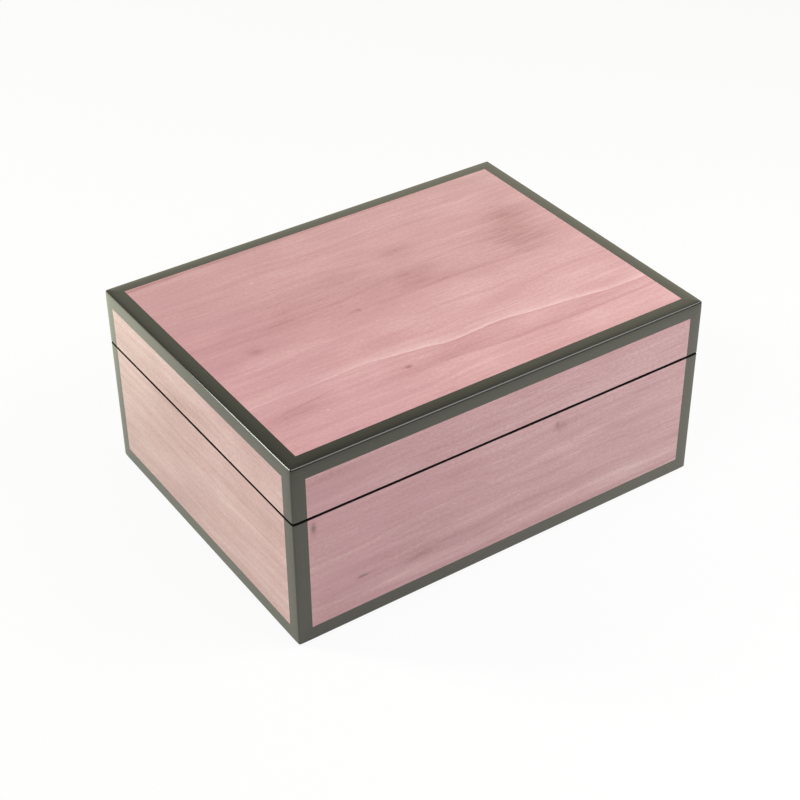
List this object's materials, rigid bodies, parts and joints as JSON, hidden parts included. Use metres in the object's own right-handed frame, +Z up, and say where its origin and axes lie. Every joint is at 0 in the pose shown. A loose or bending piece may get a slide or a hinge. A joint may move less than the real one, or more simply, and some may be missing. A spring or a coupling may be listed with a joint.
{
  "type": "keepsake box",
  "caption": "Rectangular keepsake box in dyed wood veneer with flush dark edging, a hinged lid, stop hinges and a velvet lining.",
  "frame": {"origin": "middle of the felt underside that the box stands on", "axes": "+X to the right along the longer side, +Y to the back where the hinges are, +Z up"},
  "size_m": [0.2032, 0.1551, 0.0889],
  "materials": {
    "edging_lacquer": "dark grey dyed hardwood under clear high-gloss lacquer",
    "veneer_lacquer": "pink dyed figured wood veneer under clear high-gloss lacquer",
    "core_board": "fibreboard core, dyed dark where it shows at the rims",
    "velvet": "velvet over card",
    "felt": "pressed felt",
    "brass": "polished brass"
  },
  "bodies": {
    "base": {"base_bottom_board": "core_board", "base_corner_post_back_left": "edging_lacquer", "base_corner_post_back_right": "edging_lacquer", "base_corner_post_front_left": "edging_lacquer", "base_corner_post_front_right": "edging_lacquer", "base_edging_back": "edging_lacquer", "base_edging_front": "edging_lacquer", "base_edging_left": "edging_lacquer", "base_edging_right": "edging_lacquer", "base_floor_pad": "velvet", "base_lining_back": "velvet", "base_lining_front": "velvet", "base_lining_left": "velvet", "base_lining_right": "velvet", "base_veneer_back": "veneer_lacquer", "base_veneer_front": "veneer_lacquer", "base_veneer_left": "veneer_lacquer", "base_veneer_right": "veneer_lacquer", "base_wall_back": "core_board", "base_wall_front": "core_board", "base_wall_left": "core_board", "base_wall_right": "core_board", "hinge_left_base_leaf": "brass", "hinge_left_base_screw_1": "brass", "hinge_left_base_screw_2": "brass", "hinge_left_pin": "brass", "hinge_right_base_leaf": "brass", "hinge_right_base_screw_1": "brass", "hinge_right_base_screw_2": "brass", "hinge_right_pin": "brass", "underside_felt": "felt"},
    "lid": {"hinge_left_lid_leaf": "brass", "hinge_left_lid_screw_1": "brass", "hinge_left_lid_screw_2": "brass", "hinge_right_lid_leaf": "brass", "hinge_right_lid_screw_1": "brass", "hinge_right_lid_screw_2": "brass", "lid_ceiling_pad": "velvet", "lid_corner_post_back_left": "edging_lacquer", "lid_corner_post_back_right": "edging_lacquer", "lid_corner_post_front_left": "edging_lacquer", "lid_corner_post_front_right": "edging_lacquer", "lid_edging_back": "edging_lacquer", "lid_edging_front": "edging_lacquer", "lid_edging_left": "edging_lacquer", "lid_edging_right": "edging_lacquer", "lid_lining_back": "velvet", "lid_lining_front": "velvet", "lid_lining_left": "velvet", "lid_lining_right": "velvet", "lid_top_board": "core_board", "lid_veneer_back": "veneer_lacquer", "lid_veneer_front": "veneer_lacquer", "lid_veneer_left": "veneer_lacquer", "lid_veneer_right": "veneer_lacquer", "lid_veneer_top": "veneer_lacquer", "lid_wall_back": "core_board", "lid_wall_front": "core_board", "lid_wall_left": "core_board", "lid_wall_right": "core_board"}
  },
  "joints": [
    {"name": "lid_hinge", "type": "hinge", "parent": "base", "child": "lid", "pos_m": [0, 0.0762, 0.06265], "axis": [-1, 0, 0], "range_deg": [0, 95]}
  ]
}
